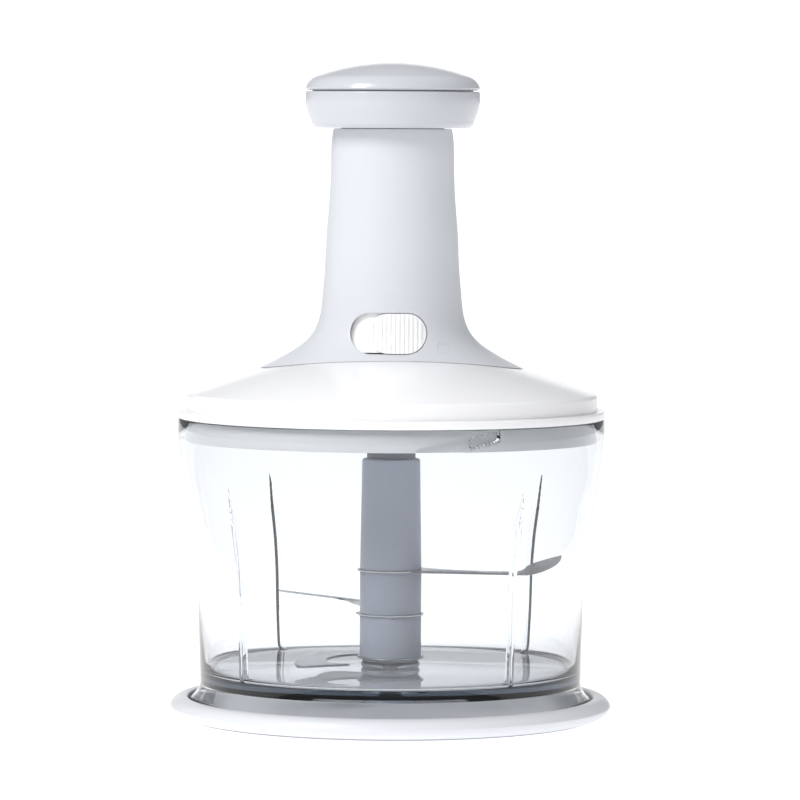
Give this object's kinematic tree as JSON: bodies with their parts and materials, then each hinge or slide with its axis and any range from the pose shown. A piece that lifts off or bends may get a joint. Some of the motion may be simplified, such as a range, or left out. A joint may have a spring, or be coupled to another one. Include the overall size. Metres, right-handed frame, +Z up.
{
  "type": "hand-press food processor",
  "caption": "Hand-pumped food chopper: palm knob on a flared tower, twist-lock lid, clear ribbed bowl with three swept blades, non-slip base tray.",
  "frame": {"origin": "middle of the underside, on the table", "axes": "+Z up along the press axis, front with the lock slider towards -Y, +X to the right"},
  "size_m": [0.176, 0.176, 0.261],
  "materials": {
    "tray_plastic": "satin white",
    "foot_rubber": "soft matt",
    "clear_plastic": "clear, cool tint, polished",
    "lid_white": "gloss white",
    "cover_grey": "satin light grey",
    "seal_silicone": "matt silicone",
    "tower_grey": "gloss pale cool grey",
    "knob_grey": "gloss pale cool grey",
    "slider_white": "satin white",
    "hub_grey": "satin blue grey",
    "drive_dark": "dark grey",
    "inner_plastic": "natural white",
    "nut_plastic": "natural acetal",
    "bush_plastic": "natural acetal",
    "blade_steel": "ground stainless",
    "spring_steel": "drawn wire",
    "screw_steel": "zinc plated"
  },
  "bodies": {
    "base": {"base_tray": "tray_plastic", "foot_ring": "foot_rubber"},
    "bowl": {"bowl": "clear_plastic", "bowl_pin": "blade_steel"},
    "seal": {"seal_ring": "seal_silicone"},
    "lid": {"lid_shell": "lid_white", "inner_cover": "cover_grey", "bearing_bush": "bush_plastic", "cover_screws": "screw_steel", "gear_housing": "inner_plastic", "tower": "tower_grey", "guide_tube": "inner_plastic", "tower_screws": "screw_steel", "slider_retainer": "inner_plastic", "return_spring": "spring_steel"},
    "slider": {"lock_slider": "slider_white"},
    "handle": {"press_sleeve": "tower_grey", "knob_ring": "knob_grey", "knob_cap": "knob_grey", "nut_carrier": "inner_plastic", "carrier_screw": "screw_steel", "knob_screws": "screw_steel", "drive_nut": "nut_plastic"},
    "spindle": {"spiral_rod": "blade_steel", "clutch_driver": "nut_plastic", "clutch_spring": "spring_steel"},
    "blades": {"drive_coupling": "drive_dark", "blade_shaft": "hub_grey", "spacer_lower": "hub_grey", "spacer_upper": "hub_grey", "shaft_end": "hub_grey", "blade_upper": "blade_steel", "blade_middle": "blade_steel", "blade_lower": "blade_steel"}
  },
  "joints": [
    {"name": "bowl_lift", "type": "slide", "parent": "base", "child": "bowl", "axis": [0, 0, 1], "range_m": [0, 0.05]},
    {"name": "lid_rise", "type": "slide", "parent": "bowl", "child": "seal", "axis": [0, 0, 1], "range_m": [0, 0.0043]},
    {"name": "lid_twist", "type": "hinge", "parent": "seal", "child": "lid", "pos_m": [0, 0, 0.12], "axis": [0, 0, 1], "range_deg": [0, 14]},
    {"name": "handle_press", "type": "slide", "parent": "lid", "child": "handle", "axis": [0, 0, 1], "range_m": [0, 0.06], "deforming": ["return_spring"]},
    {"name": "spindle_spin", "type": "hinge", "parent": "lid", "child": "spindle", "pos_m": [0, 0, 0.14], "axis": [0, 0, 1], "range_deg": [0, 540.5]},
    {"name": "blade_spin", "type": "hinge", "parent": "lid", "child": "blades", "pos_m": [0, 0, 0.1], "axis": [0, 0, 1], "range_deg": [0, 540.5]},
    {"name": "lock_slide", "type": "hinge", "parent": "lid", "child": "slider", "pos_m": [0, 0, 0.155], "axis": [0, 0, 1], "range_deg": [-11.5, 0]}
  ],
  "couplings": [
    {"joint": "lid_rise", "follows": "lid_twist", "m_per_rad": 0.017189},
    {"joint": "spindle_spin", "follows": "handle_press", "rad_per_m": 157.08},
    {"joint": "blade_spin", "follows": "handle_press", "rad_per_m": 157.08}
  ]
}
